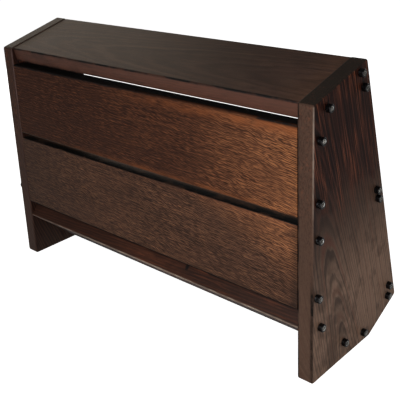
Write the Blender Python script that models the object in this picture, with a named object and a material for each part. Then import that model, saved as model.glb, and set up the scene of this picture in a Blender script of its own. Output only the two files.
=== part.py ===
"""Slanted two-row rack case: two five-sided oak side panels, five plank boards and four slotted rails.

Row frame: +X across the width, -Y towards the open slanted front, +Z up, origin on the floor under the
middle of the case. The case has one cross-section, so most shapes are drawn in the section plane as
(u, z): u is the distance from the back plane towards the front, z is the height above the floor.
"""
import math

import bmesh
import bpy
from mathutils import Matrix, Vector

MM = 0.001

# Driving dimensions, in millimetres and degrees
STOCK = 18.0                 # thickness of every panel and board
INNER_WIDTH = 444.0          # clear width between the side panels
TILT = math.radians(15.0)    # lean of the front edge, and rise of the top
ROWS = 2
ROW_PITCH = 133.35           # height of one 3U row of modules
RAIL_PITCH = 122.5           # between the two rails of a row
REAR_HEIGHT = 295.0          # height of the side panels' back edge
TOP_RUN = 92.5               # horizontal run of the side panels' top edge
FOOT_LENGTH = 112.5          # length of the side panels' bottom edge
BOARD_WIDTH = 93.0
BOARD_RECESS = 1.15          # top and bottom boards lie this far inside the panels' outline
BACK_RECESS = 0.3            # back boards lie this far inside the panels' back edge
LOWER_BACK_HEIGHT = 80.7     # underside of the lower back board
UPPER_BACK_HEIGHT = 180.4    # underside of the upper back board
SLOPE = math.radians(41.0)   # descent of the rear bottom board
SLOPE_HEIGHT = 59.9          # its rear lower arris
SLOPE_WIDTH = 78.0
GAP = 0.3                    # clearance between neighbouring solids

# Easing of the arrises
PANEL_CORNER = 3.0
PANEL_ARRIS = 1.5
BOARD_ARRIS = 1.2
CORNER_STEPS = 3
ARRIS_STEPS = 2

# Fasteners: M5 socket cap screws
SHANK_RADIUS = 2.5
HEAD_RADIUS = 4.25
HEAD_HEIGHT = 5.0
HEAD_CHAMFER = 0.5
SOCKET_RADIUS = 2.31         # across the corners of a 4 mm hexagon, halved
SOCKET_DEPTH = 2.6
BOARD_SCREW_LENGTH = 40.0
RAIL_SCREW_LENGTH = 30.0
HOLE_RADIUS = SHANK_RADIUS + GAP
HOLE_SPARE = 3.0             # a blind hole runs this far past its screw's tip
TOP_INSET = 16.3             # from the top board's long edges to its screws
FRONT_BOTTOM_INSET = 18.3
SLOPE_INSET = 8.2
BACK_LOW_INSET = 16.9        # from a back board's lower edge to its lower screw
BACK_HIGH_INSET = 14.0
BACK_SCREW_DEPTH = 4.7       # from the back plane to the line of the back boards' screws, at the floor
BACK_SCREW_LEAN = math.radians(1.1)          # of that line, forwards as it rises
TOP_SCREW_LEAN = math.radians(5.0)           # of a board's screw line, up at the front
FRONT_BOTTOM_SCREW_LEAN = math.radians(6.5)
SLOPE_SCREW_LEAN = math.radians(-1.7)
FRONT_BOTTOM_SCREW_DROP = 0.7                # of its screw line below the board's middle
HEX_SIDES = 6
ROUND_SIDES = 2 * HEX_SIDES
SHARP_ANGLE = math.radians(40.0)
DRILL_MARGIN = 1.0           # a cutter runs this far past the face that it starts from

# Rails and threaded strips, measured back from the front edge and across the rail
RAIL_SETBACK = 3.0
RAIL_DEPTH = 15.5
RAIL_HEIGHT = 10.0
RAIL_SCREW_SETBACK = 13.9
MOUTH_WIDTH = 3.6
LIP_THICKNESS = 2.2
CHANNEL_WIDTH = 7.0
CHANNEL_DEPTH = 3.0
STRIP_WIDTH = 6.4
STRIP_THICKNESS = 2.4
STRIP_END_SETBACK = 1.0

FINISHES = {
    "oak": ((0.055, 0.030, 0.020, 1.0), 0.45, 0.0),
    "aluminium": ((0.60, 0.61, 0.62, 1.0), 0.35, 1.0),
    "zinc": ((0.50, 0.51, 0.53, 1.0), 0.40, 1.0),
    "black_steel": ((0.012, 0.012, 0.013, 1.0), 0.40, 0.6),
}

ALONG_TOP = Vector((math.cos(TILT), math.sin(TILT)))      # forwards along the top edge
DOWN_FRONT = Vector((math.sin(TILT), -math.cos(TILT)))    # down along the front edge
FRONT_LENGTH = ROWS * ROW_PITCH + 2 * (STOCK + BOARD_RECESS)
TOP_FRONT = Vector((TOP_RUN, REAR_HEIGHT + TOP_RUN * math.tan(TILT)))
LOW_FRONT = TOP_FRONT + FRONT_LENGTH * DOWN_FRONT
OUTER_HALF = INNER_WIDTH / 2 + STOCK


def from_front(setback, drop):
    """Section point at a setback behind the front edge and a drop down it from the top front corner."""
    return TOP_FRONT - setback * ALONG_TOP + drop * DOWN_FRONT


def rounded(points, radius, steps):
    """Outline whose corners are arcs of one radius, each drawn with the given number of steps."""
    outline = []
    for index, corner in enumerate(points):
        before = (points[index - 1] - corner).normalized()
        after = (points[(index + 1) % len(points)] - corner).normalized()
        half = before.angle(after) / 2
        centre = corner + (before + after).normalized() * radius / math.sin(half)
        start = corner + before * radius / math.tan(half) - centre
        end = corner + after * radius / math.tan(half) - centre
        sweep = start.angle_signed(end)
        for step in range(steps + 1):
            outline.append(centre + Matrix.Rotation(-sweep * step / steps, 2) @ start)
    return outline


def plank(corner, along, across, width, thickness=STOCK):
    """Four section points of a plank that starts at a corner, with its width and thickness directions."""
    return [
        corner,
        corner + along * width,
        corner + along * width + across * thickness,
        corner + across * thickness,
    ]


PANEL_POINTS = [
    Vector((0.0, 0.0)),
    Vector((0.0, REAR_HEIGHT)),
    TOP_FRONT,
    LOW_FRONT,
    Vector((FOOT_LENGTH, 0.0)),
]
PANEL_OUTLINE = rounded(PANEL_POINTS, PANEL_CORNER, CORNER_STEPS)
DEPTH = max(point.x for point in PANEL_OUTLINE)


def row_point(x, section):
    """Row position, in metres, of a section point at a place across the width."""
    return Vector((x, DEPTH / 2 - section.x, section.y)) * MM


def finish(name, kind):
    """A Principled material with one of the case's finishes."""
    color, roughness, metallic = FINISHES[kind]
    material = bpy.data.materials.new(name + "_finish")
    material.use_nodes = True
    shader = material.node_tree.nodes["Principled BSDF"]
    shader.inputs["Base Color"].default_value = color
    shader.inputs["Roughness"].default_value = roughness
    shader.inputs["Metallic"].default_value = metallic
    return material


def add_object(name, shape, kind=None):
    """Turn a bmesh into a linked object, with outward faces and, for a real piece, a finish."""
    bmesh.ops.recalc_face_normals(shape, faces=shape.faces)
    mesh = bpy.data.meshes.new(name)
    shape.to_mesh(mesh)
    shape.free()
    piece = bpy.data.objects.new(name, mesh)
    bpy.context.collection.objects.link(piece)
    if kind:
        mesh.materials.append(finish(name, kind))
    return piece


def prism(outline, x_low, x_high):
    """Closed solid with a section outline, between two places across the width."""
    shape = bmesh.new()
    ends = []
    for x in (x_low, x_high):
        ends.append([shape.verts.new(row_point(x, point)) for point in outline])
    for index in range(len(outline)):
        shape.faces.new((ends[0][index - 1], ends[0][index], ends[1][index], ends[1][index - 1]))
    shape.faces.new(ends[0])
    shape.faces.new(ends[1])
    return shape


def turned(profile):
    """Rings of a turned body about +X from (x, radius) pairs, joined by quads and left open at both ends."""
    shape = bmesh.new()
    rings = []
    for x, radius in profile:
        ring = []
        for side in range(ROUND_SIDES):
            angle = math.tau * side / ROUND_SIDES
            ring.append(shape.verts.new(Vector((x, radius * math.cos(angle), radius * math.sin(angle))) * MM))
        rings.append(ring)
    for first, second in zip(rings, rings[1:]):
        bridge(shape, first, second)
    return shape, rings


def bridge(shape, first, second):
    """Quads between two rings with the same number of vertices."""
    for index in range(len(first)):
        shape.faces.new((first[index - 1], first[index], second[index], second[index - 1]))


def cylinder(radius, x_low, x_high):
    """Closed cylinder about +X."""
    shape, rings = turned([(x_low, radius), (x_high, radius)])
    shape.faces.new(rings[0])
    shape.faces.new(rings[1])
    return shape


def cap_screw(length):
    """Socket cap screw along +X, whose head stands on x = 0 and whose shank runs to -length."""
    shape, rings = turned([
        (-length, SHANK_RADIUS),
        (0.0, SHANK_RADIUS),
        (0.0, HEAD_RADIUS),
        (HEAD_HEIGHT - HEAD_CHAMFER, HEAD_RADIUS),
        (HEAD_HEIGHT, HEAD_RADIUS - HEAD_CHAMFER),
    ])
    shape.faces.new(rings[0])
    socket = []
    for x in (HEAD_HEIGHT, HEAD_HEIGHT - SOCKET_DEPTH):
        ring = []
        for corner in range(HEX_SIDES):
            angle = math.tau * corner / HEX_SIDES
            place = Vector((x, SOCKET_RADIUS * math.cos(angle), SOCKET_RADIUS * math.sin(angle)))
            ring.append(shape.verts.new(place * MM))
        socket.append(ring)
    rim = rings[-1]
    for corner in range(HEX_SIDES):
        following = (corner + 1) % HEX_SIDES
        rim_start, rim_middle, rim_end = (rim[(2 * corner + step) % ROUND_SIDES] for step in range(3))
        shape.faces.new((rim_start, rim_middle, socket[0][corner]))
        shape.faces.new((rim_middle, socket[0][following], socket[0][corner]))
        shape.faces.new((rim_middle, rim_end, socket[0][following]))
    bridge(shape, socket[0], socket[1])
    shape.faces.new(socket[1])
    return shape


def mirrored(model, x, section_points):
    """One bmesh with a copy of a model at each section point on both sides, the left ones turned round."""
    source = bpy.data.meshes.new("model")
    model.to_mesh(source)
    model.free()
    shape = bmesh.new()
    for side in (-1, 1):
        for point in section_points:
            start = len(shape.verts)
            shape.from_mesh(source)
            shape.verts.ensure_lookup_table()
            bmesh.ops.transform(shape, matrix=side_place(side, x, point), verts=shape.verts[start:])
    bpy.data.meshes.remove(source)
    return shape


def side_place(side, x, point):
    """Matrix that carries a shape built along +X to a section point, pointing out of the left or right side."""
    turn = Matrix.Rotation(math.pi if side < 0 else 0.0, 4, "Z")
    return Matrix.Translation(row_point(side * x, point)) @ turn


def cut(piece, cutter_shape):
    """Cut a piece with a hidden cutter by an exact Boolean."""
    cutter = add_object("cutter_" + piece.name, cutter_shape)
    cutter.hide_render = True
    cutter.display_type = "WIRE"
    boolean = piece.modifiers.new("holes", "BOOLEAN")
    boolean.operation = "DIFFERENCE"
    boolean.solver = "EXACT"
    boolean.object = cutter


def leaning_screws(corners, inset, lean, drop=0.0):
    """Front and rear screw points of a board, on a line that leans off its own direction near its middle."""
    middle = (corners[0] + corners[2]) / 2 - Vector((0.0, drop))
    forward = corners[1] - corners[0]
    if forward.x < 0:
        forward = -forward
    forward.length = forward.length / 2 - inset
    reach = Matrix.Rotation(lean, 2) @ forward
    return {"front": middle + reach, "rear": middle - reach}


def back_screw(height):
    """Screw point of a back board at a height above the floor."""
    return Vector((BACK_SCREW_DEPTH + height * math.tan(BACK_SCREW_LEAN), height))


def board_layout():
    """Section corners, and named screw points, of the five boards."""
    up = Vector((0.0, 1.0))
    forward = Vector((1.0, 0.0))
    down_slope = Vector((math.cos(SLOPE), -math.sin(SLOPE)))
    off_slope = Vector((math.sin(SLOPE), math.cos(SLOPE)))
    lowest = FRONT_LENGTH - BOARD_RECESS
    top = plank(from_front(0.0, BOARD_RECESS), -ALONG_TOP, DOWN_FRONT, BOARD_WIDTH)
    bottom = plank(from_front(0.0, lowest), -ALONG_TOP, -DOWN_FRONT, BOARD_WIDTH)
    slope = plank(Vector((BACK_RECESS, SLOPE_HEIGHT)), down_slope, off_slope, SLOPE_WIDTH)
    layout = {
        "top_board": (top, leaning_screws(top, TOP_INSET, TOP_SCREW_LEAN)),
        "front_bottom_board": (
            bottom,
            leaning_screws(bottom, FRONT_BOTTOM_INSET, FRONT_BOTTOM_SCREW_LEAN, FRONT_BOTTOM_SCREW_DROP),
        ),
        "rear_bottom_board": (slope, leaning_screws(slope, SLOPE_INSET, SLOPE_SCREW_LEAN)),
    }
    for name, height in (("upper_back_board", UPPER_BACK_HEIGHT), ("lower_back_board", LOWER_BACK_HEIGHT)):
        layout[name] = (
            plank(Vector((BACK_RECESS, height)), up, forward, BOARD_WIDTH),
            {
                "lower": back_screw(height + BACK_LOW_INSET),
                "upper": back_screw(height + BOARD_WIDTH - BACK_HIGH_INSET),
            },
        )
    return layout


def rail_layout():
    """Drop of each rail's axis down the front edge, by name."""
    first = BOARD_RECESS + STOCK + (ROW_PITCH - RAIL_PITCH) / 2
    return {
        "upper_row_top": first,
        "upper_row_bottom": first + RAIL_PITCH,
        "lower_row_top": first + ROW_PITCH,
        "lower_row_bottom": first + ROW_PITCH + RAIL_PITCH,
    }


def rail_outline(drop):
    """Section of a rail whose front face has a T-shaped channel for the threaded strip."""
    lip = RAIL_SETBACK + LIP_THICKNESS
    upper = [
        (lip + CHANNEL_DEPTH, CHANNEL_WIDTH / 2),
        (lip, CHANNEL_WIDTH / 2),
        (lip, MOUTH_WIDTH / 2),
        (RAIL_SETBACK, MOUTH_WIDTH / 2),
        (RAIL_SETBACK, RAIL_HEIGHT / 2),
        (RAIL_SETBACK + RAIL_DEPTH, RAIL_HEIGHT / 2),
    ]
    lower = [(setback, -offset) for setback, offset in reversed(upper)]
    return [from_front(setback, drop - offset) for setback, offset in upper + lower]


def make_panel(name, side, hole_points):
    """Side panel with eased arrises and a clearance hole for every screw."""
    shape = prism(PANEL_OUTLINE, side * INNER_WIDTH / 2, side * OUTER_HALF)
    face_edges = {edge for face in shape.faces if len(face.verts) > 4 for edge in face.edges}
    bmesh.ops.bevel(shape, geom=list(face_edges), offset=PANEL_ARRIS * MM, segments=ARRIS_STEPS,
                    profile=0.5, affect="EDGES")
    panel = add_object(name, shape, "oak")
    reach = STOCK / 2 + DRILL_MARGIN
    cut(panel, mirrored(cylinder(HOLE_RADIUS, -reach, reach), (INNER_WIDTH + STOCK) / 2, hole_points))


def make_screws(name, screw, screw_points):
    """One object for each screw of a board or rail, all with the same mesh."""
    mesh = bpy.data.meshes.new(name)
    bmesh.ops.recalc_face_normals(screw, faces=screw.faces)
    screw.to_mesh(mesh)
    screw.free()
    mesh.materials.append(finish(name, "black_steel"))
    mesh.shade_smooth()
    mesh.set_sharp_from_angle(angle=SHARP_ANGLE)
    for side, side_name in ((-1, "left"), (1, "right")):
        for place_name, point in screw_points.items():
            words = [name, side_name, place_name]
            piece = bpy.data.objects.new("_".join(word for word in words if word), mesh)
            piece.matrix_world = side_place(side, OUTER_HALF + GAP, point)
            bpy.context.collection.objects.link(piece)


def make_board(name, corners, screw_points):
    """Board with rounded long arrises, a hole in its end grain for every screw, and the screws."""
    half = INNER_WIDTH / 2 - GAP
    board = add_object(name, prism(rounded(corners, BOARD_ARRIS, ARRIS_STEPS), -half, half), "oak")
    drill = cylinder(HOLE_RADIUS, STOCK - BOARD_SCREW_LENGTH - HOLE_SPARE, DRILL_MARGIN)
    cut(board, mirrored(drill, half, screw_points.values()))
    make_screws(name + "_screw", cap_screw(BOARD_SCREW_LENGTH), screw_points)


def make_rail(name, drop, screw_point):
    """Slotted rail with end holes, its threaded strip and its two end screws."""
    half = INNER_WIDTH / 2 - GAP
    rail = add_object(name + "_rail", prism(rail_outline(drop), -half, half), "aluminium")
    drill = cylinder(HOLE_RADIUS, STOCK - RAIL_SCREW_LENGTH - HOLE_SPARE, DRILL_MARGIN)
    cut(rail, mirrored(drill, half, [screw_point]))
    strip_front = RAIL_SETBACK + LIP_THICKNESS + (CHANNEL_DEPTH - STRIP_THICKNESS) / 2
    strip_corner = from_front(strip_front, drop - STRIP_WIDTH / 2)
    strip_corners = plank(strip_corner, DOWN_FRONT, -ALONG_TOP, STRIP_WIDTH, STRIP_THICKNESS)
    strip_half = half - STRIP_END_SETBACK
    add_object(name + "_strip", prism(strip_corners, -strip_half, strip_half), "zinc")
    make_screws(name + "_rail_screw", cap_screw(RAIL_SCREW_LENGTH), {"": screw_point})


def main():
    """Build the whole case."""
    for old in list(bpy.data.objects):
        bpy.data.objects.remove(old, do_unlink=True)
    boards = board_layout()
    rails = rail_layout()
    rail_screws = {name: from_front(RAIL_SCREW_SETBACK, drop) for name, drop in rails.items()}
    hole_points = [point for _, points in boards.values() for point in points.values()]
    hole_points.extend(rail_screws.values())
    make_panel("left_side_panel", -1, hole_points)
    make_panel("right_side_panel", 1, hole_points)
    for name, (corners, screw_points) in boards.items():
        make_board(name, corners, screw_points)
    for name, drop in rails.items():
        make_rail(name, drop, rail_screws[name])


main()
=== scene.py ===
"""Looks of the slanted two-row rack case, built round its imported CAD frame.

Row frame, in metres: +X across the width, -Y towards the open slanted front, +Z up. The wooden pieces keep
their CAD meshes and each gets an oak cut from a log of its own. The screws, rails and threaded strips are
replaced by finer ones.
"""
import math

import bmesh
import bpy
from mathutils import Euler, Matrix, Vector


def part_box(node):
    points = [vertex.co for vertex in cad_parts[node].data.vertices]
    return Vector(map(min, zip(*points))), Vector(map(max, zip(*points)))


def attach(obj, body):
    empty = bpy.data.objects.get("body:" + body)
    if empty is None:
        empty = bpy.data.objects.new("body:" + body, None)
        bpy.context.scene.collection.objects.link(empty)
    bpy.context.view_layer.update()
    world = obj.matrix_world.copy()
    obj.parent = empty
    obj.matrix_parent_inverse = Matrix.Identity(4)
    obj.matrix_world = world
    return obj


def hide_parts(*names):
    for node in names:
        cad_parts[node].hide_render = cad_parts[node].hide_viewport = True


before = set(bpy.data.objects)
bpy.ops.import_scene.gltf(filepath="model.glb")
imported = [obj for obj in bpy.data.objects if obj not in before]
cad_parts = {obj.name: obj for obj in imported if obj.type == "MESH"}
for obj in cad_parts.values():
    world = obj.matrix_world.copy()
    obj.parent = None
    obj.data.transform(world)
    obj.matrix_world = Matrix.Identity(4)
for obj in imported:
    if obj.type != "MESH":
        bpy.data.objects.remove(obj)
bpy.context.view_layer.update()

MM = 0.001
WELD = 1e-6             # points closer than this are one point
WHITE = (1.0, 1.0, 1.0, 1.0)

# Flat sides of the CAD pieces
SAME_WAY = 0.9999       # normals of one flat side have at least this dot product
SAME_PLANE = 2e-5       # and their faces lie at most this far apart
FLAT_SHARE = 0.015      # a flat side has at least this share of the largest side's area
INWARD_OR_UP = Vector((0.0, -1.0, 1.5))     # a board's thickness axis points this way

# Socket cap screws, in millimetres
HEAD_RADIUS = 4.25
HEAD_HEIGHT = 5.0
SHANK_RADIUS = 2.5
SHANK_CHAMFER = 0.8
SOCKET_RADIUS = 2.31    # to the corners of its hexagon
SOCKET_LIP = 0.28       # depth of the cone that leads into it
SOCKET_DEPTH = 2.2
KNURL_TEETH = 36
KNURL_DEPTH = 0.13
GOLDEN_TURN = math.radians(137.5)

# Wood, in millimetres
FIBRE = (38.0, 1.1, 1.1)                    # length, width and thickness of a bundle of fibres
RING_WIDTH = 3.4
RIPPLE_SLANT = 0.18                         # of the ray ripple across the grain
RIPPLE_PITCH = 2.0                          # between its lines
RIPPLE_GAIN = (2.5, 2.65, 2.4, 1.0)         # of its bright dashes over the wood's tint
RIPPLE_LOSS = (0.33, 0.30, 0.28, 1.0)       # and of its deep ones

# Threaded strips, in millimetres
HOLE_PITCH = 5.08
STRIP_HOLE_RADIUS = 1.5
HOLE_SIDES = 12

# Rails, in metres
EASED_EDGE = 0.00025
LONG_EDGE = 0.1         # longer edges run along the rail, and only they are eased


class Surface:
    """A material under construction, with short calls that add nodes and join them."""

    def __init__(self, name):
        self.material = bpy.data.materials.new(name)
        self.material.use_nodes = True
        self.tree = self.material.node_tree
        self.shader = self.tree.nodes["Principled BSDF"]

    def feed(self, socket, value):
        """Join an output to a socket, or set the socket to a constant."""
        if isinstance(value, bpy.types.NodeSocket):
            self.tree.links.new(value, socket)
        else:
            socket.default_value = value

    def add(self, kind, **settings):
        """Add a node with these attributes."""
        node = self.tree.nodes.new(kind)
        for key, value in settings.items():
            setattr(node, key, value)
        return node

    def place(self):
        """The surface's point in the piece's mesh, in metres."""
        return self.add("ShaderNodeTexCoord").outputs["Object"]

    def math(self, operation, *values):
        node = self.add("ShaderNodeMath", operation=operation)
        for socket, value in zip(node.inputs, values):
            self.feed(socket, value)
        return node.outputs[0]

    def plus(self, total, *others):
        for other in others:
            total = self.math("ADD", total, other)
        return total

    def minus(self, value, less):
        return self.math("SUBTRACT", value, less)

    def times(self, product, *others):
        for other in others:
            product = self.math("MULTIPLY", product, other)
        return product

    def over(self, value, divisor):
        return self.math("DIVIDE", value, divisor)

    def reach(self, first, second):
        """Length of the diagonal of two sides."""
        return self.math("SQRT", self.plus(self.math("POWER", first, 2.0), self.math("POWER", second, 2.0)))

    def vector(self, operation, first, second):
        node = self.add("ShaderNodeVectorMath", operation=operation)
        self.feed(node.inputs[0], first)
        self.feed(node.inputs[1], second)
        return node.outputs["Value" if operation == "DOT_PRODUCT" else "Vector"]

    def combine(self, *values):
        node = self.add("ShaderNodeCombineXYZ")
        for socket, value in zip(node.inputs, values):
            self.feed(socket, value)
        return node.outputs[0]

    def separate(self, vector):
        node = self.add("ShaderNodeSeparateXYZ")
        self.feed(node.inputs[0], vector)
        return node.outputs

    def noise(self, vector, stretch, detail=2.0, roughness=0.5):
        """Noise from 0 to 1 whose grains have these sizes along the three axes."""
        scaled = self.vector("DIVIDE", vector, stretch)
        node = self.add("ShaderNodeTexNoise")
        self.feed(node.inputs["Vector"], scaled)
        self.feed(node.inputs["Scale"], 1.0)
        self.feed(node.inputs["Detail"], detail)
        self.feed(node.inputs["Roughness"], roughness)
        return node.outputs["Fac"]

    def swing(self, noise, width):
        """Noise from 0 to 1 as a shift of up to half the width either way."""
        return self.times(self.minus(noise, 0.5), width)

    def span(self, value, low, high, to_low=0.0, to_high=1.0):
        """Smooth step from one value to another as the input goes from low to high."""
        node = self.add("ShaderNodeMapRange", interpolation_type="SMOOTHSTEP")
        for socket, number in zip(node.inputs, (value, low, high, to_low, to_high)):
            self.feed(socket, number)
        return node.outputs[0]

    def mix(self, factor, first, second, blend="MIX"):
        """Colour between two colours, or the first one blended with the second."""
        node = self.add("ShaderNodeMix", data_type="RGBA", blend_type=blend)
        sockets = [socket for socket in node.inputs if socket.type == "RGBA"]
        self.feed(node.inputs["Factor"], factor)
        self.feed(sockets[0], first)
        self.feed(sockets[1], second)
        return [socket for socket in node.outputs if socket.type == "RGBA"][0]

    def bump(self, height, distance, strength):
        """Normal of a relief whose height goes from 0 to 1 over a distance in metres."""
        node = self.add("ShaderNodeBump")
        self.feed(node.inputs["Height"], height)
        self.feed(node.inputs["Distance"], distance)
        self.feed(node.inputs["Strength"], strength)
        return node.outputs[0]

    def paint(self, **sockets):
        """Set the shader's sockets, whose names are given with underscores for spaces."""
        for name, value in sockets.items():
            self.feed(self.shader.inputs[name.replace("_", " ")], value)
        return self.material


def tone(red, green, blue):
    """Linear colour of an sRGB tone given from 0 to 255."""
    shares = [level / 255 for level in (red, green, blue)]
    return (*[((share + 0.055) / 1.055) ** 2.4 if share > 0.04 else share / 12.92 for share in shares], 1.0)


class Block:
    """A flat CAD piece: its own axes (grain, width, thickness), centre, half sizes and narrow flat sides.

    Each side is [area, normal, distance of its plane from the origin].
    """

    def __init__(self, node, along_front=False):
        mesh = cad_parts[node].data
        sides = []
        for polygon in mesh.polygons:
            for side in sides:
                away = abs(polygon.center.dot(side[1]) - side[2])
                if side[1].dot(polygon.normal) > SAME_WAY and away < SAME_PLANE:
                    side[0] += polygon.area
                    break
            else:
                sides.append([polygon.area, polygon.normal.copy(), polygon.center.dot(polygon.normal)])
        largest, thick, _ = max(sides, key=lambda side: side[0])
        flat = [side for side in sides if side[0] > FLAT_SHARE * largest]
        self.sides = [side for side in flat if abs(side[1].dot(thick)) < 0.5]
        if along_front:
            front = min(self.sides, key=lambda side: side[1].y)
            grain = front[1].cross(Vector((1, 0, 0))).normalized()
            thick = Vector((1, 0, 0))
        else:
            grain = Vector((1, 0, 0))
            if thick.dot(INWARD_OR_UP) < 0:
                thick = -thick
        self.axes = (grain, thick.cross(grain), thick)
        self.half = []
        self.centre = Vector()
        for axis in self.axes:
            span = [axis.dot(vertex.co) for vertex in mesh.vertices]
            self.half.append((max(span) - min(span)) / 2)
            self.centre += axis * (max(span) + min(span)) / 2

    def place(self):
        """Matrix from the piece's own axes to the row frame."""
        return Matrix.Translation(self.centre) @ Matrix(self.axes).transposed().to_4x4()

    def coordinates(self, surface):
        """The surface's point in the piece's own axes, in millimetres from its centre."""
        turn = Matrix(self.axes)
        node = surface.add("ShaderNodeMapping")
        surface.feed(node.inputs["Vector"], surface.place())
        surface.feed(node.inputs["Scale"], (1 / MM,) * 3)
        surface.feed(node.inputs["Rotation"], turn.to_euler())
        surface.feed(node.inputs["Location"], -(turn @ self.centre) / MM)
        return node.outputs[0]

    def side_depth(self, surface, facing):
        """Millimetres from a point to the flat side that faces a direction."""
        _, normal, offset = max(self.sides, key=lambda side: side[1].dot(Vector(facing)))
        along = surface.vector("DOT_PRODUCT", surface.place(), tuple(normal))
        return surface.times(surface.minus(offset, along), 1 / MM)

    def face_depth(self, surface, local, face):
        """Millimetres from a point to the broad face at the low (-1) or high (1) end of the thickness."""
        return surface.minus(self.half[2] / MM, surface.times(surface.separate(local)[2], face))


class Oak(Surface):
    """One board's own oak, whose layers each change the tint.

    Lengths are in millimetres, in the board's own axes: x along the grain, y across the width and z through
    the thickness. A facing is the direction that a narrow side faces. A face is -1 or 1, for the broad face
    at the low or high end of the thickness.
    """

    def __init__(self, node, seed, along_front):
        super().__init__(node + "_oak")
        self.seed = seed
        self.block = Block(node, along_front)
        self.local = self.block.coordinates(self)
        self.moved = self.vector("ADD", self.local, (seed * 97.0, seed * 31.0, seed * 53.0))
        self.x, self.y, self.z = self.separate(self.local)
        self.fibre = self.noise(self.moved, FIBRE, 4.0, 0.62)
        self.fleck = None       # the ray ripple, where the board has one

    def cover(self, factor, colour, blend="MIX"):
        """Lay a colour over the tint so far, or blend it with that tint."""
        self.tint = self.mix(factor, self.tint, colour, blend)

    def lay_ground(self, dark, middle, fades):
        """Fibres between two tones, with fades and darker patches.

        fades are (colour, start, end, amount): a colour that comes in from start to end along the grain. A
        fifth number is how far its front leans along the grain for each millimetre across the width.
        """
        patch = self.noise(self.moved, (85, 30, 30), 3.0, 0.55)
        blotch = self.noise(self.moved, (16, 10, 10), 2.0, 0.6)
        shade = self.plus(self.times(patch, 0.55), self.times(blotch, 0.45))
        self.tint = self.mix(self.span(self.fibre, 0.3, 0.7), dark, middle)
        for colour, start, end, amount, *lean in fades:
            where = self.plus(self.x, self.swing(shade, 220.0))
            if lean:
                where = self.minus(where, self.times(self.y, lean[0]))
            where = self.span(where, start, end, 0.0, amount)
            self.cover(self.times(where, self.span(self.fibre, 0.1, 0.7, 0.5, 1.0)), colour)
        self.cover(self.span(shade, 0.56, 0.38, 0.0, 0.55), dark)

    def add_rings(self, dark, light, pith, slope, line):
        """Growth rings round a pith line: pale early wood and dark late wood, in amounts of up to line.

        pith is how far beside and below the board's centre that line passes, and slope is its lean along
        the grain.
        """
        warp = self.swing(self.noise(self.moved, (190, 42, 42), 2.0), 20.0)
        sway = self.swing(self.noise(self.moved, (40, 8, 8), 2.0), 2.2)
        aside = self.plus(self.minus(self.y, pith[0]), warp)
        below = self.plus(self.z, pith[1], self.times(self.x, slope))
        rings = self.over(self.plus(self.reach(aside, below), sway), RING_WIDTH)
        drift = self.noise(self.combine(rings, self.seed, 0.0), (2.3, 1.0, 1.0), 1.0)
        age = self.plus(rings, self.times(drift, 1.6))
        phase = self.math("FRACT", age)
        year = self.noise(self.combine(self.math("FLOOR", age), self.seed, 0.0), (0.7, 1.0, 1.0), 0.0)
        self.early = self.times(self.span(phase, 0.0, 0.15), self.span(phase, 0.5, 0.2))
        late = self.times(self.span(phase, 0.45, 0.8), self.span(phase, 1.0, 0.92))
        self.cover(self.times(self.early, self.span(year, 0.3, 0.7, 0.1, line)), light)
        self.cover(self.times(late, self.span(year, 0.7, 0.35, 0.2, line)), dark)

    def add_streaks(self, colour, start, end, amount):
        """Long thin threads in groups, which grow from start to end along the grain."""
        thread = self.span(self.noise(self.moved, (60.0, 0.9, 3.0), 2.0, 0.6), 0.5, 0.66)
        group = self.span(self.noise(self.moved, (80, 14, 14), 2.0), 0.38, 0.62, 0.15, 1.0)
        self.cover(self.times(thread, group, self.span(self.x, start, end, 0.0, amount)), colour)

    def add_ripple(self, amount):
        """Ray ripple: short bright and deep dashes along slanting lines."""
        wave = self.swing(self.noise(self.moved, (60, 34, 34), 1.0), 7.0)
        leaning = self.plus(self.minus(self.y, self.times(self.x, RIPPLE_SLANT)), wave)
        skew = self.combine(self.x, leaning, self.z)
        stray = self.times(self.noise(skew, (16.0, 5.0, 9.0), 1.0), 3.0)
        turns = self.plus(self.over(leaning, RIPPLE_PITCH), stray)
        lines = self.times(self.math("SINE", self.times(turns, math.tau)), 0.13)
        self.fleck = self.plus(lines, self.noise(skew, (8.0, 0.7, 5.0), 1.0, 0.5))
        shown = self.span(self.noise(self.moved, (60, 40, 40), 2.0), 0.32, 0.62, 0.6, 1.0)
        shown = self.times(shown, self.span(self.x, 220.0, -60.0, 0.85, 1.0), amount)
        self.cover(self.times(self.span(self.fleck, 0.54, 0.62), shown), RIPPLE_GAIN, "MULTIPLY")
        self.cover(self.times(self.span(self.fleck, 0.46, 0.38), shown), RIPPLE_LOSS, "MULTIPLY")

    def tint_sides(self, sides):
        """Tones of whole narrow sides, as (facing, colour, amount); the near-black ones are painted shade on
        sides within a gap.
        """
        for facing, colour, amount in sides:
            along = self.span(self.block.side_depth(self, facing), 1.6, 0.5, 0.0, amount)
            self.cover(self.times(along, self.span(self.fibre, 0.28, 0.62, 0.48, 1.0)), colour)

    def open_pores(self):
        """Dark pores, most of them in the early wood."""
        pores = self.span(self.noise(self.moved, (7.0, 0.4, 0.4), 2.0, 0.6), 0.57, 0.7)
        self.pores = self.times(pores, self.plus(self.times(self.early, 0.6), 0.4))
        self.cover(self.times(self.pores, 0.6), tone(14, 8, 6))

    def add_knot(self, facing, along, through, radius):
        """A small dark knot on a narrow side."""
        apart = self.reach(self.minus(self.x, along), self.times(self.minus(self.z, through), 0.6))
        skin = self.span(self.block.side_depth(self, facing), 6.0, 3.0)
        self.cover(self.times(self.span(apart, radius, radius * 0.4), skin), tone(16, 9, 8))

    def paint_corner_shade(self, facing, amount):
        """Painted shade in the corner where the end that faces a direction meets a panel."""
        self.cover(self.span(self.block.side_depth(self, facing), 11.0, 2.0, 0.0, amount), tone(9, 7, 6))

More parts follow.
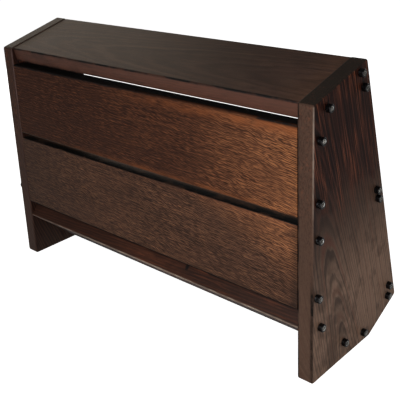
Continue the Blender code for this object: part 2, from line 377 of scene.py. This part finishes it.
    def tint_arrises(self, arrises):
        """Tints along the arris of a narrow side and a broad face, made patchy by noise: colour, wear,
        painted highlights and painted shade.

        arrises are (facing, face, colour, (broad, narrow), amount, start, end): the tint reaches so far over
        the broad face and so far over the narrow side, and grows from start to end along the grain.
        """
        patchiness = self.span(self.noise(self.moved, (18, 9, 9), 3.0), 0.32, 0.66, 0.3, 1.0)
        for facing, face, colour, (broad, narrow), amount, start, end in arrises:
            over_face = self.over(self.block.side_depth(self, facing), broad)
            over_side = self.over(self.block.face_depth(self, self.local, face), narrow)
            near = self.span(self.plus(over_face, over_side), 1.0, 0.3)
            self.cover(self.times(near, self.span(self.x, start, end, 0.0, amount), patchiness), colour)

    def finish(self, gloss):
        """Satin surface whose fibres stand proud and whose pores are sunk."""
        rough = self.plus(0.5, self.swing(self.fibre, 0.2), self.times(self.pores, 0.2))
        relief = self.plus(self.minus(self.times(self.fibre, 0.35), self.pores), self.times(self.early, -0.3))
        if self.fleck:
            relief = self.plus(relief, self.times(self.fleck, 0.8))
        normal = self.bump(relief, 0.0001, 0.6)
        return self.paint(Base_Color=self.tint, Roughness=rough, Normal=normal, Specular_IOR_Level=gloss)


def oak(node, dark, middle, light, pith, slope=0.0, line=0.6, fades=(), streak=None, ripple=0.0, sides=(),
        knot=None, corner_shade=None, arrises=(), seed=0.0, along_front=False, gloss=0.3):
    """The oak of a board, from the bare wood to its arrises, which are worn and carry painted highlights and
    painted shade, and its painted corner shade.
    """
    wood = Oak(node, seed, along_front)
    wood.lay_ground(dark, middle, fades)
    wood.add_rings(dark, light, pith, slope, line)
    if streak:
        wood.add_streaks(*streak)
    if ripple:
        wood.add_ripple(ripple)
    wood.tint_sides(sides)
    wood.open_pores()
    if knot:
        wood.add_knot(*knot)
    if corner_shade:
        wood.paint_corner_shade(*corner_shade)
    wood.tint_arrises(arrises)
    return wood.finish(gloss)


def black_oxide():
    """Black-oxide steel with a thin film of oil; inside the socket it is pale, as wear from the hex key and
    as a painted highlight of the lights it reflects.
    """
    surface = Surface("black_oxide")
    place = surface.place()
    x, y, z = surface.separate(place)
    floor = HEAD_HEIGHT - SOCKET_DEPTH
    # pale socket walls and floor: hex-key wear and a painted highlight
    within = surface.span(surface.reach(y, z), (SOCKET_RADIUS + 0.34) * MM, (SOCKET_RADIUS + 0.09) * MM)
    wear_and_highlight = surface.times(within, surface.span(x, (floor - 0.8) * MM, (floor - 0.2) * MM))
    grain = surface.noise(place, (0.0009,) * 3, 4.0, 0.7)
    film = surface.noise(place, (0.0035,) * 3, 2.0)
    tint = surface.mix(surface.span(grain, 0.35, 0.75), tone(26, 25, 26), tone(58, 57, 58))
    wear_and_highlight = surface.times(wear_and_highlight, surface.span(grain, 0.3, 0.5, 0.5, 1.0))
    tint = surface.mix(wear_and_highlight, tint, tone(190, 188, 184))
    rough = surface.span(film, 0.3, 0.7, 0.14, 0.3)
    normal = surface.bump(grain, 0.00002, 0.5)
    return surface.paint(Base_Color=tint, Roughness=rough, Metallic=0.85, Normal=normal)


def anodised():
    """Satin anodised aluminium with fine lines along the extrusion."""
    surface = Surface("anodised_aluminium")
    place = surface.place()
    lines = surface.noise(place, (0.06, 0.00022, 0.00022), 3.0, 0.6)
    cloud = surface.noise(place, (0.05, 0.008, 0.008), 2.0)
    tint = surface.mix(surface.span(lines, 0.3, 0.7), tone(176, 178, 181), tone(206, 207, 209))
    tint = surface.mix(surface.span(cloud, 0.4, 0.7, 0.0, 0.25), tint, tone(160, 162, 166))
    rough = surface.span(lines, 0.25, 0.75, 0.3, 0.44)
    normal = surface.bump(lines, 0.00002, 0.6)
    return surface.paint(Base_Color=tint, Roughness=rough, Metallic=0.95, Normal=normal)


def zinc():
    """Bright zinc plating with a faint spangle and dull spots."""
    surface = Surface("zinc_plate")
    place = surface.place()
    spangle = surface.noise(place, (0.004, 0.0016, 0.0016), 3.0, 0.6)
    dull = surface.noise(place, (0.02, 0.004, 0.004), 2.0)
    tint = surface.mix(surface.span(spangle, 0.35, 0.7), tone(148, 151, 156), tone(186, 187, 188))
    rough = surface.span(dull, 0.3, 0.7, 0.26, 0.48)
    normal = surface.bump(spangle, 0.00002, 0.5)
    return surface.paint(Base_Color=tint, Roughness=rough, Metallic=1.0, Normal=normal)


def paper():
    """Matt white studio paper, burnt out for the camera alone so that it throws little light back."""
    surface = Surface("studio_paper")
    cloud = surface.noise(surface.place(), (0.3,) * 3, 2.0)
    tint = surface.mix(cloud, tone(236, 236, 236), tone(242, 242, 241))
    shown = surface.add("ShaderNodeLightPath").outputs["Is Camera Ray"]
    glow = surface.times(shown, 0.95)
    return surface.paint(Base_Color=tint, Roughness=0.9, Emission_Color=WHITE, Emission_Strength=glow)


def new_piece(name, shape, material, slot, *nodes):
    """A finished bmesh as a piece that rides on the case and stands for CAD nodes."""
    bmesh.ops.recalc_face_normals(shape, faces=shape.faces)
    mesh = bpy.data.meshes.new(name)
    shape.to_mesh(mesh)
    shape.free()
    mesh.materials.append(material)
    piece = bpy.data.objects.new(name, mesh)
    bpy.context.collection.objects.link(piece)
    return settle(piece, slot, *nodes)


def settle(piece, slot, *nodes):
    """Let a piece ride on the case's one body, in place of CAD nodes."""
    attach(piece, "root")
    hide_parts(*nodes)
    return piece


def ring_of(shape, x, radii):
    """Vertices round +X, one for each radius, in millimetres."""
    ring = []
    for index, radius in enumerate(radii):
        angle = math.tau * index / len(radii)
        ring.append(shape.verts.new(Vector((x, radius * math.cos(angle), radius * math.sin(angle))) * MM))
    return ring


def bridge(shape, first, second):
    """Faces between two closed rings of as many vertices."""
    for index in range(len(first)):
        shape.faces.new((first[index - 1], first[index], second[index], second[index - 1]))


def hexagon_radius(angle, corner_radius):
    """Distance from the middle of a hexagon to its side, at an angle."""
    turn = (angle + math.pi / 6) % (math.pi / 3) - math.pi / 6
    return corner_radius * math.cos(math.pi / 6) / math.cos(math.pi / 6 - abs(turn))


def cap_screw_mesh(length):
    """Knurled socket cap screw along +X, whose head stands on x = 0."""
    shape = bmesh.new()
    count = 2 * KNURL_TEETH
    plain = [1.0] * count
    knurl = [1.0 if index % 2 else 1.0 - KNURL_DEPTH / HEAD_RADIUS for index in range(count)]
    # Place along X, radius and its shares round the ring: shank, seat, knurled side, rounded crown, mouth
    profile = [
        (-length, SHANK_RADIUS - SHANK_CHAMFER, plain),
        (SHANK_CHAMFER - length, SHANK_RADIUS, plain),
        (0.0, SHANK_RADIUS, plain),
        (0.0, HEAD_RADIUS - 0.25, plain),
        (0.25, HEAD_RADIUS, plain),
        (0.55, HEAD_RADIUS, knurl),
        (HEAD_HEIGHT - 0.95, HEAD_RADIUS, knurl),
        (HEAD_HEIGHT - 0.6, HEAD_RADIUS - 0.02, plain),
        (HEAD_HEIGHT - 0.25, HEAD_RADIUS - 0.14, plain),
        (HEAD_HEIGHT - 0.07, HEAD_RADIUS - 0.34, plain),
        (HEAD_HEIGHT, HEAD_RADIUS - 0.62, plain),
        (HEAD_HEIGHT, SOCKET_RADIUS + 0.4, plain),
    ]
    rings = [ring_of(shape, x, [radius * share for share in shares]) for x, radius, shares in profile]
    socket = [hexagon_radius(math.tau * index / count, SOCKET_RADIUS) for index in range(count)]
    for depth in (SOCKET_LIP, SOCKET_DEPTH):
        rings.append(ring_of(shape, HEAD_HEIGHT - depth, socket))
    for first, second in zip(rings, rings[1:]):
        bridge(shape, first, second)
    shape.faces.new(rings[0])
    shape.faces.new(rings[-1])
    bmesh.ops.recalc_face_normals(shape, faces=shape.faces)
    mesh = bpy.data.meshes.new("cap_screw")
    shape.to_mesh(mesh)
    shape.free()
    mesh.shade_smooth()
    mesh.set_sharp_from_angle(angle=math.radians(35))
    return mesh


def make_screws():
    """A knurled screw for every CAD screw, each turned its own way."""
    steel = black_oxide()
    meshes = {}
    for index, node in enumerate(sorted(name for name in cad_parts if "screw" in name)):
        low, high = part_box(node)
        length = round((high.x - low.x) / MM - HEAD_HEIGHT, 1)
        if length not in meshes:
            meshes[length] = cap_screw_mesh(length)
            meshes[length].materials.append(steel)
        right = low.x > 0
        seat = low.x + length * MM if right else high.x - length * MM
        piece = bpy.data.objects.new("fine_" + node, meshes[length])
        bpy.context.collection.objects.link(piece)
        facing = Matrix.Identity(4) if right else Matrix.Rotation(math.pi, 4, "Z")
        middle = Vector((seat, (low.y + high.y) / 2, (low.z + high.z) / 2))
        spin = Matrix.Rotation(index * GOLDEN_TURN, 4, "X")
        piece.matrix_world = Matrix.Translation(middle) @ facing @ spin
        settle(piece, "screws", node)


def make_rails():
    """The CAD rails with their edges eased."""
    metal = anodised()
    for node in sorted(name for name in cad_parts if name.endswith("_rail")):
        shape = bmesh.new()
        shape.from_mesh(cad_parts[node].data)
        bmesh.ops.remove_doubles(shape, verts=shape.verts, dist=WELD)
        bmesh.ops.dissolve_limit(shape, angle_limit=math.radians(1), verts=shape.verts, edges=shape.edges)
        long = [edge for edge in shape.edges if edge.calc_length() > LONG_EDGE and len(edge.link_faces) == 2]
        sharp = [edge for edge in long if edge.calc_face_angle() > math.radians(60)]
        bmesh.ops.bevel(shape, geom=sharp, offset=EASED_EDGE, segments=2, profile=0.5, affect="EDGES")
        new_piece("fine_" + node, shape, metal, "rails", node)


def make_strips():
    """Threaded strips with a row of M3 holes at the rack's 5.08 mm pitch."""
    metal = zinc()
    for node in sorted(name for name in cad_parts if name.endswith("_strip")):
        block = Block(node)
        half = [size / MM for size in block.half]
        count = int(2 * half[0] // HOLE_PITCH)
        shape = bmesh.new()
        for index in range(count):
            start = (index - count / 2) * HOLE_PITCH
            end = start + HOLE_PITCH
            middle = (start + end) / 2
            if index == 0:
                start = -half[0]
            if index == count - 1:
                end = half[0]
            add_holed_cell(shape, start, end, middle, half[1], half[2])
        bmesh.ops.remove_doubles(shape, verts=shape.verts, dist=WELD)
        for end in (-half[0] * MM, half[0] * MM):
            at_end = {vertex for vertex in shape.verts if abs(vertex.co.x - end) < WELD}
            open_edges = [edge for edge in shape.edges if at_end.issuperset(edge.verts)]
            bmesh.ops.contextual_create(shape, geom=open_edges)
        for vertex in shape.verts:
            vertex.co = block.place() @ vertex.co
        new_piece("fine_" + node, shape, metal, "strips", node)


def add_holed_cell(shape, start, end, middle, half_width, half_thick):
    """One pitch of a strip: top and bottom faces round a hole, the hole's wall and the strip's long sides."""
    turns = [math.tau * (index + 0.5) / HOLE_SIDES for index in range(HOLE_SIDES)]
    radius = STRIP_HOLE_RADIUS
    circle = [(middle + radius * math.cos(turn), radius * math.sin(turn)) for turn in turns]
    corners = [(end, half_width), (start, half_width), (start, -half_width), (end, -half_width)]
    quarter = HOLE_SIDES // 4
    layers = []
    for z in (-half_thick, half_thick):
        hole = [shape.verts.new(Vector((x, y, z)) * MM) for x, y in circle]
        rim = [shape.verts.new(Vector((x, y, z)) * MM) for x, y in corners]
        layers.append((hole, rim))
        for corner in range(4):
            stretch = [hole[(corner * quarter + step) % HOLE_SIDES] for step in range(quarter + 1)]
            for first, second in zip(stretch[:-1], stretch[1:]):
                shape.faces.new((first, second, rim[corner]))
            shape.faces.new((stretch[-1], rim[(corner + 1) % 4], rim[corner]))
    (low_hole, low_rim), (high_hole, high_rim) = layers
    bridge(shape, low_hole, high_hole)
    shape.faces.new((low_rim[0], low_rim[1], high_rim[1], high_rim[0]))
    shape.faces.new((low_rim[2], low_rim[3], high_rim[3], high_rim[2]))


def finish_wood():
    """A separate oak for every panel and board, with its lengths in millimetres as Oak takes them."""
    rear = (0.0, 1.0, 0.0)
    up = (0.0, 0.0, 1.0)
    down = (0.0, 0.0, -1.0)
    left = (-1.0, 0.0, 0.0)
    amber = tone(150, 84, 44)
    ashen = tone(118, 98, 84)
    # shade_black is painted shade: a near-black tone laid on the sides, arrises and gaps that lie in shade
    shade_black = tone(9, 7, 6)
    always = (-9999.0, -9998.0)     # a start and an end far beyond the board, so that all of it is tinted
    oaks = {
        "left_side_panel": dict(
            dark=tone(17, 5, 4), middle=tone(31, 11, 9), light=tone(84, 45, 32),
            pith=(-24.0, 36.0), slope=0.1, line=0.6, along_front=True, seed=1.0, gloss=0.1,
            streak=(tone(142, 80, 54), 0.0, 80.0, 0.85),
            # painted light: the outer face grows paler and greyer towards its lower part, standing in for the
            # white floor's bounce light
            fades=[(tone(137, 110, 92), 75.0, -80.0, 0.95)],
            sides=[(up, tone(48, 41, 35), 1.1), (rear, tone(90, 67, 55), 0.95)],
            # a pale line along the upper part of the worn rear outer arris, with a painted highlight
            arrises=[(rear, -1.0, tone(186, 166, 150), (1.7, 1.7), 0.8, 10.0, 110.0),
                     # painted shade: near-black down the lower rear edge of the outer face, along the inner
                     # rear arris where the boards meet the panel, and along the bottom edge
                     (rear, -1.0, shade_black, (2.6, 4.0), 1.1, 15.0, -40.0),
                     (rear, 1.0, shade_black, (3.0, 3.0), 1.1, *always),
                     (down, -1.0, shade_black, (1.2, 1.2), 0.6, *always)]),
        "right_side_panel": dict(
            dark=tone(28, 12, 9), middle=tone(46, 25, 20), light=tone(88, 54, 37),
            pith=(24.0, 44.0), slope=-0.08, line=0.55, along_front=True, seed=2.0, gloss=0.22,
            streak=(tone(140, 76, 44), -100.0, 60.0, 0.6),
            fades=[(ashen, -60.0, -160.0, 0.3)],
            sides=[(up, tone(74, 64, 55), 0.9), (rear, tone(71, 49, 40), 0.7)],
            # pale lines along both worn rear arrises, with painted highlights
            arrises=[(rear, 1.0, tone(160, 138, 124), (1.5, 1.5), 0.6, -60.0, 110.0),
                     (rear, -1.0, tone(150, 126, 124), (1.6, 1.6), 0.6, 0.0, 110.0)]),
        "top_board": dict(
            dark=tone(46, 30, 22), middle=tone(80, 57, 43), light=tone(98, 73, 57),
            pith=(12.0, 46.0), slope=0.05, line=0.35, seed=3.0,
            fades=[(tone(96, 66, 54), -60.0, -210.0, 0.7), (tone(130, 88, 62), -190.0, -235.0, 0.6)],
            streak=(tone(28, 16, 12), -40.0, -150.0, 0.55),
            sides=[(rear, tone(101, 62, 48), 0.9)],
            arrises=[(rear, 1.0, tone(44, 26, 20), (0.8, 60.0), 0.75, -110.0, 220.0),
                     # a near-black line along the rear upper arris, and painted shade along the rear lower
                     # arris above the gap beneath
                     (rear, 1.0, shade_black, (2.8, 2.8), 1.2, *always),
                     (rear, -1.0, shade_black, (2.0, 3.4), 0.9, -150.0, 200.0)]),
        "upper_back_board": dict(
            dark=tone(46, 22, 13), middle=tone(84, 48, 30), light=tone(140, 84, 52),
            pith=(150.0, 10.0), line=0.1, ripple=1.0, seed=4.0, gloss=0.18,
            fades=[(tone(40, 19, 12), -70.0, 130.0, 0.8), (tone(142, 90, 59), -60.0, -230.0, 0.75),
                   (tone(184, 116, 72), -200.0, -245.0, 0.6)],
            # painted corner shade at the end by the near panel; painted shade on the top side under the top
            # board and on the bottom side over the gap
            corner_shade=(left, 0.2), sides=[(up, shade_black, 2.4), (down, tone(50, 38, 30), 1.0)],
            arrises=[(up, -1.0, amber, (18.0, 3.0), 0.7, 60.0, -160.0),
                     (down, -1.0, amber, (7.0, 3.0), 0.5, 200.0, -40.0),
                     # painted shade along the rear top arris under the top board and along the rear bottom
                     # arris over the gap
                     (up, -1.0, shade_black, (4.0, 4.0), 1.0, *always),
                     (down, -1.0, tone(58, 44, 35), (2.6, 2.6), 0.8, *always)]),
        "lower_back_board": dict(
            dark=tone(52, 32, 23), middle=tone(92, 60, 44), light=tone(134, 92, 66),
            pith=(-160.0, 10.0), line=0.1, ripple=0.95, seed=5.0, gloss=0.2,
            # painted corner shade at the end by the near panel
            corner_shade=(left, 0.5),
            fades=[(tone(48, 32, 25), 40.0, 230.0, 0.7), (tone(146, 92, 60), -150.0, -285.0, 0.85, 2.0)],
            # painted shade on the bottom side, over the rear bottom board
            sides=[(up, tone(72, 54, 43), 1.0), (down, shade_black, 1.2)],
            arrises=[(up, -1.0, tone(128, 74, 48), (8.0, 3.0), 0.3, 60.0, -160.0),
                     # painted shade: near-black along the rear top arris and over the top side, in the gap
                     # under the upper board
                     (up, -1.0, shade_black, (1.6, 13.0), 2.0, *always)]),
        "rear_bottom_board": dict(
            dark=tone(32, 16, 10), middle=tone(60, 31, 20), light=tone(104, 56, 34),
            pith=(20.0, 60.0), slope=0.05, line=0.5, seed=6.0, knot=(rear, -64.0, 5.5, 3.4),
            streak=(tone(132, 72, 46), 120.0, -20.0, 0.6),
            fades=[(tone(98, 56, 38), 90.0, 10.0, 0.6), (tone(44, 28, 22), -60.0, -120.0, 0.8)],
            sides=[(rear, tone(66, 38, 26), 0.3)],
            # painted shade along the rear top arris, under the lower back board
            arrises=[(rear, 1.0, shade_black, (3.4, 3.4), 0.9, *always),
                     # painted light: the underside pale near its rear edge, for the white floor's light it
                     # catches at a grazing angle
                     (rear, -1.0, tone(150, 128, 116), (16.0, 0.8), 0.9, *always),
                     # a pale line along the worn rear lower arris, with a painted highlight
                     (rear, -1.0, tone(190, 170, 150), (1.9, 1.9), 0.9, 240.0, 40.0)]),
        "front_bottom_board": dict(
            dark=tone(44, 26, 20), middle=tone(74, 46, 36), light=tone(112, 72, 52),
            pith=(-20.0, 60.0), slope=0.07, line=0.5, seed=7.0),
    }
    for node, wood in oaks.items():
        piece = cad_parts[node]
        piece.data.materials.clear()
        piece.data.materials.append(oak(node, **wood))


def make_floor():
    """A round sheet of paper under the case, far wider than the view."""
    shape = bmesh.new()
    bmesh.ops.create_circle(shape, cap_ends=True, segments=96, radius=12.0)
    mesh = bpy.data.meshes.new("floor")
    shape.to_mesh(mesh)
    shape.free()
    mesh.materials.append(paper())
    floor = bpy.data.objects.new("floor", mesh)
    bpy.context.collection.objects.link(floor)


def make_light(name, place, target, size, watts, colour=(1.0, 1.0, 1.0)):
    """A soft square light that faces a point."""
    data = bpy.data.lights.new(name, "AREA")
    data.shape = "SQUARE"
    data.size = size
    data.energy = watts
    data.color = colour
    light = bpy.data.objects.new(name, data)
    bpy.context.collection.objects.link(light)
    light.location = place
    light.rotation_euler = (Vector(target) - Vector(place)).to_track_quat("-Z", "Y").to_euler()
    light.visible_camera = False


def make_studio():
    """Pale surroundings that light the case softly, and white backdrop for the camera."""
    world = bpy.data.worlds.new("studio")
    bpy.context.scene.world = world
    world.use_nodes = True
    tree = world.node_tree
    lighting = tree.nodes["Background"]
    lighting.inputs["Color"].default_value = WHITE
    lighting.inputs["Strength"].default_value = 0.09
    backdrop = tree.nodes.new("ShaderNodeBackground")
    backdrop.inputs["Color"].default_value = WHITE
    backdrop.inputs["Strength"].default_value = 1.0
    chooser = tree.nodes.new("ShaderNodeMixShader")
    ray = tree.nodes.new("ShaderNodeLightPath")
    tree.links.new(ray.outputs["Is Camera Ray"], chooser.inputs["Fac"])
    tree.links.new(lighting.outputs[0], chooser.inputs[1])
    tree.links.new(backdrop.outputs[0], chooser.inputs[2])
    tree.links.new(chooser.outputs[0], tree.nodes["World Output"].inputs["Surface"])
    make_light("key_softbox", (-0.25, 1.0, 0.55), (-0.05, 0.0, 0.15), 0.8, 5.6)
    make_light("top_softbox", (1.12, -0.52, 0.85), (0.1, 0.0, 0.3), 0.7, 1.7, (1.0, 0.86, 0.7))
    make_light("side_softbox", (-0.86, 0.74, 0.62), (-0.24, 0.0, 0.12), 0.25, 1.3)
    make_light("side_card", (-0.55, 0.05, 0.06), (-0.24, 0.0, 0.04), 0.3, 0.55)
    make_light("far_softbox", (1.3, -0.4, 0.3), (0.24, 0.0, 0.15), 0.5, 2.0)
    make_light("front_softbox", (-0.3, -1.6, 0.7), (0.0, 0.0, 0.15), 0.9, 6.0)


def make_camera():
    """The photo's camera, as fitted to the case's corners, edges and screws."""
    data = bpy.data.cameras.new("camera")
    data.sensor_width = 36.0
    data.lens = 66.5
    data.shift_x = 0.0164
    data.shift_y = -0.173
    camera = bpy.data.objects.new("camera", data)
    bpy.context.collection.objects.link(camera)
    camera.location = (-0.5884, 0.6143, 0.4866)
    camera.rotation_euler = Euler([math.radians(angle) for angle in (71.431, 2.603, -137.738)])
    bpy.context.scene.camera = camera


make_camera()
make_studio()
make_floor()
finish_wood()
make_screws()
make_rails()
make_strips()
bpy.context.scene.view_settings.view_transform = "Standard"
